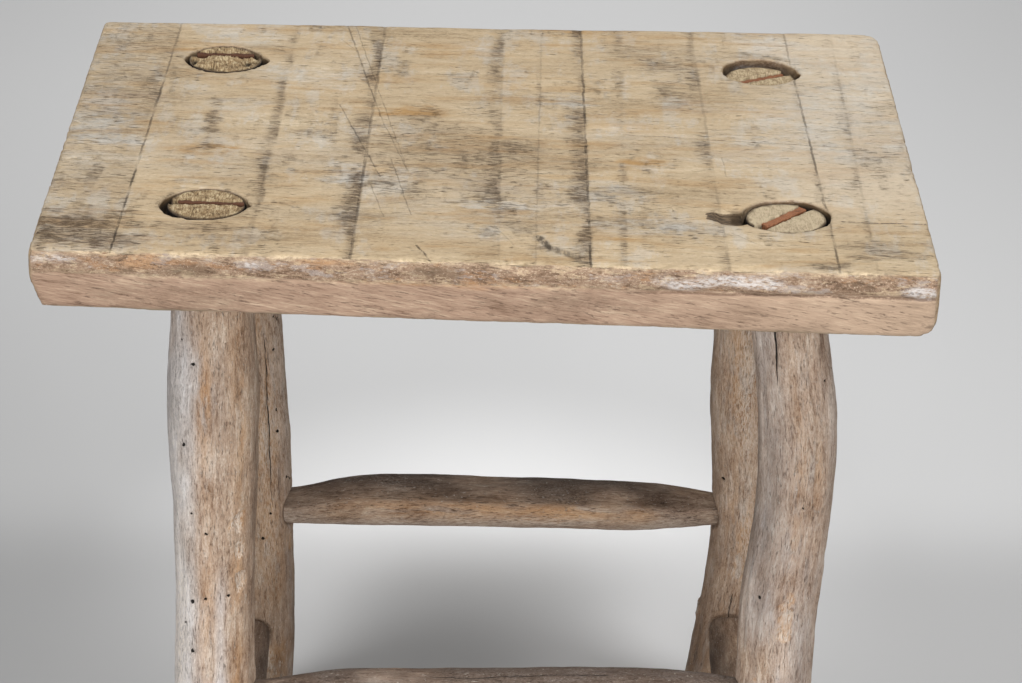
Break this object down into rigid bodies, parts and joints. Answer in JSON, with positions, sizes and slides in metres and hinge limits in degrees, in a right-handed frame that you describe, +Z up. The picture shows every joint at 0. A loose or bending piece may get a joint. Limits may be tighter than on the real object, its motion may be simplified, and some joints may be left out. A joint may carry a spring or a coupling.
{
  "type": "milking stool",
  "caption": "Low rustic stool with a rectangular sawn board seat, whittled branch legs on wedged through-tenons, and round stretchers.",
  "frame": {"origin": "on the floor, below the middle of the seat", "axes": "+Z up, out of the seat's top; +X along the seat's long side, to the viewer's right; -Y to the front"},
  "size_m": [0.3738, 0.2599, 0.38],
  "materials": {
    "seat_wood": "bare, dry and worn, with saw marks across the grain",
    "leg_wood": "bare, weathered grey-brown",
    "stretcher_wood": "bare, weathered grey-brown",
    "wedge_wood": "bare, reddish"
  },
  "bodies": {
    "root": {"seat_plank": "seat_wood", "leg_front_left": "leg_wood", "leg_front_right": "leg_wood", "leg_back_left": "leg_wood", "leg_back_right": "leg_wood", "wedge_front_left": "wedge_wood", "wedge_front_right": "wedge_wood", "wedge_back_left": "wedge_wood", "wedge_back_right": "wedge_wood", "stretcher_front": "stretcher_wood", "stretcher_back": "stretcher_wood", "stretcher_left": "stretcher_wood", "stretcher_right": "stretcher_wood"}
  },
  "joints": []
}
